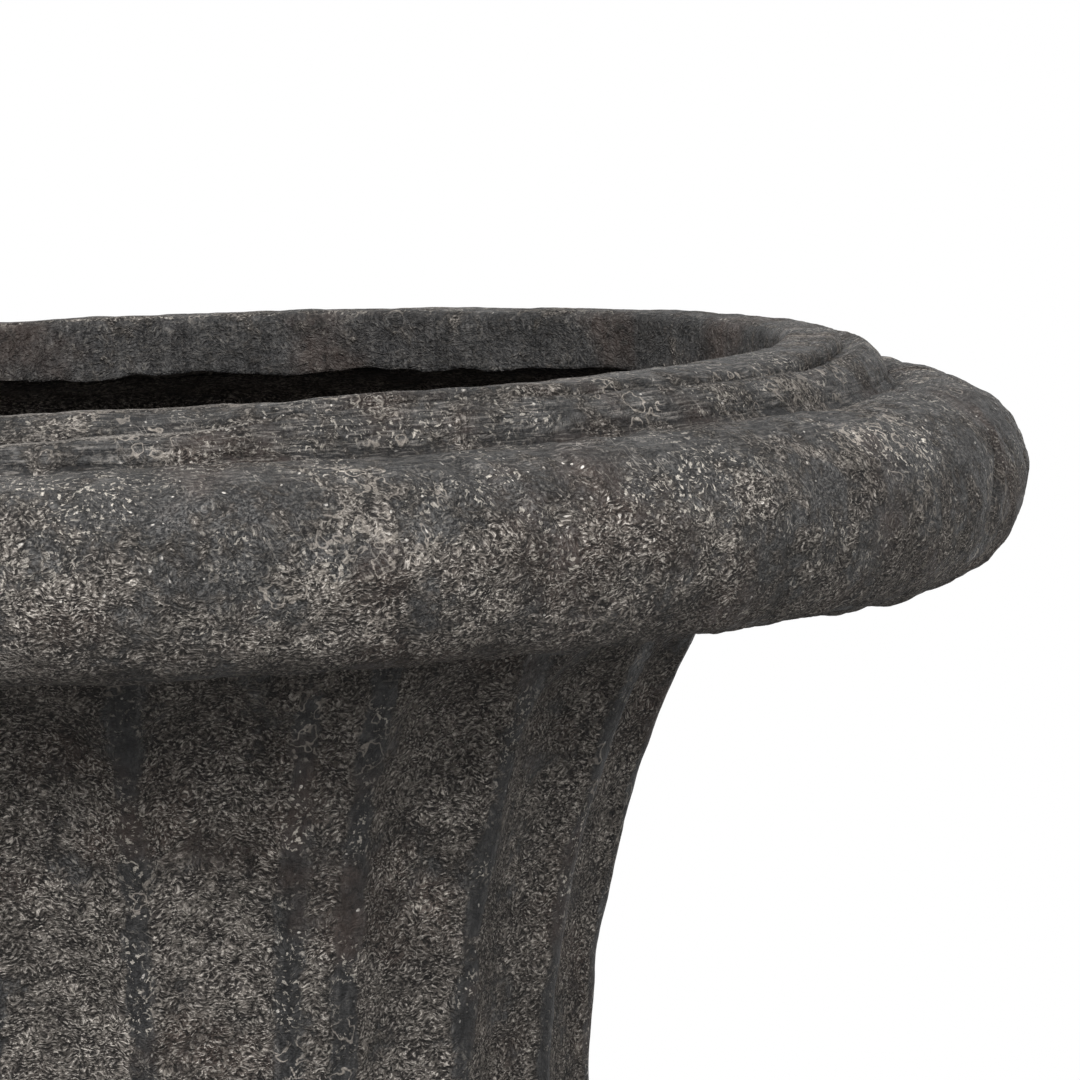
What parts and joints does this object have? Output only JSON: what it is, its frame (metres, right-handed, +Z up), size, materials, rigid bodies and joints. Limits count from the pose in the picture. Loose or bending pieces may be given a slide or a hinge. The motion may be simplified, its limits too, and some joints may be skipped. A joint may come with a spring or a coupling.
{
  "type": "urn planter",
  "caption": "Round fluted urn planter with a thick rolled rim, a hollow cast bowl bolted to a hollow pedestal on a square plinth, and a pull-out drain plug.",
  "frame": {"origin": "middle of the base, level with the undersides of the foot pads", "axes": "+Z up along the urn's axis through the mouth; -Y is the side that faces the picture's camera; +X to its right, where the drain hole stands"},
  "size_m": [0.6084, 0.6083, 0.7],
  "materials": {
    "cast_bowl": "matte",
    "cast_pedestal": "matte",
    "gasket_rubber": "matte",
    "plug_rubber": "matte",
    "pad_rubber": "matte",
    "zinc_steel": "satin",
    "galvanised_plate": "satin"
  },
  "bodies": {
    "urn": {"bowl": "cast_bowl", "pedestal": "cast_pedestal", "joint_gasket": "gasket_rubber", "clamp_rod": "zinc_steel", "seal_washer": "gasket_rubber", "upper_washer": "zinc_steel", "upper_nut": "zinc_steel", "bridge_plate": "galvanised_plate", "lower_washer": "zinc_steel", "lower_nut": "zinc_steel", "foot_pads": "pad_rubber"},
    "plug": {"drain_plug": "plug_rubber"}
  },
  "joints": [
    {"name": "plug_pull", "type": "slide", "parent": "urn", "child": "plug", "axis": [0, 0, 1], "range_m": [0, 0.47]}
  ]
}
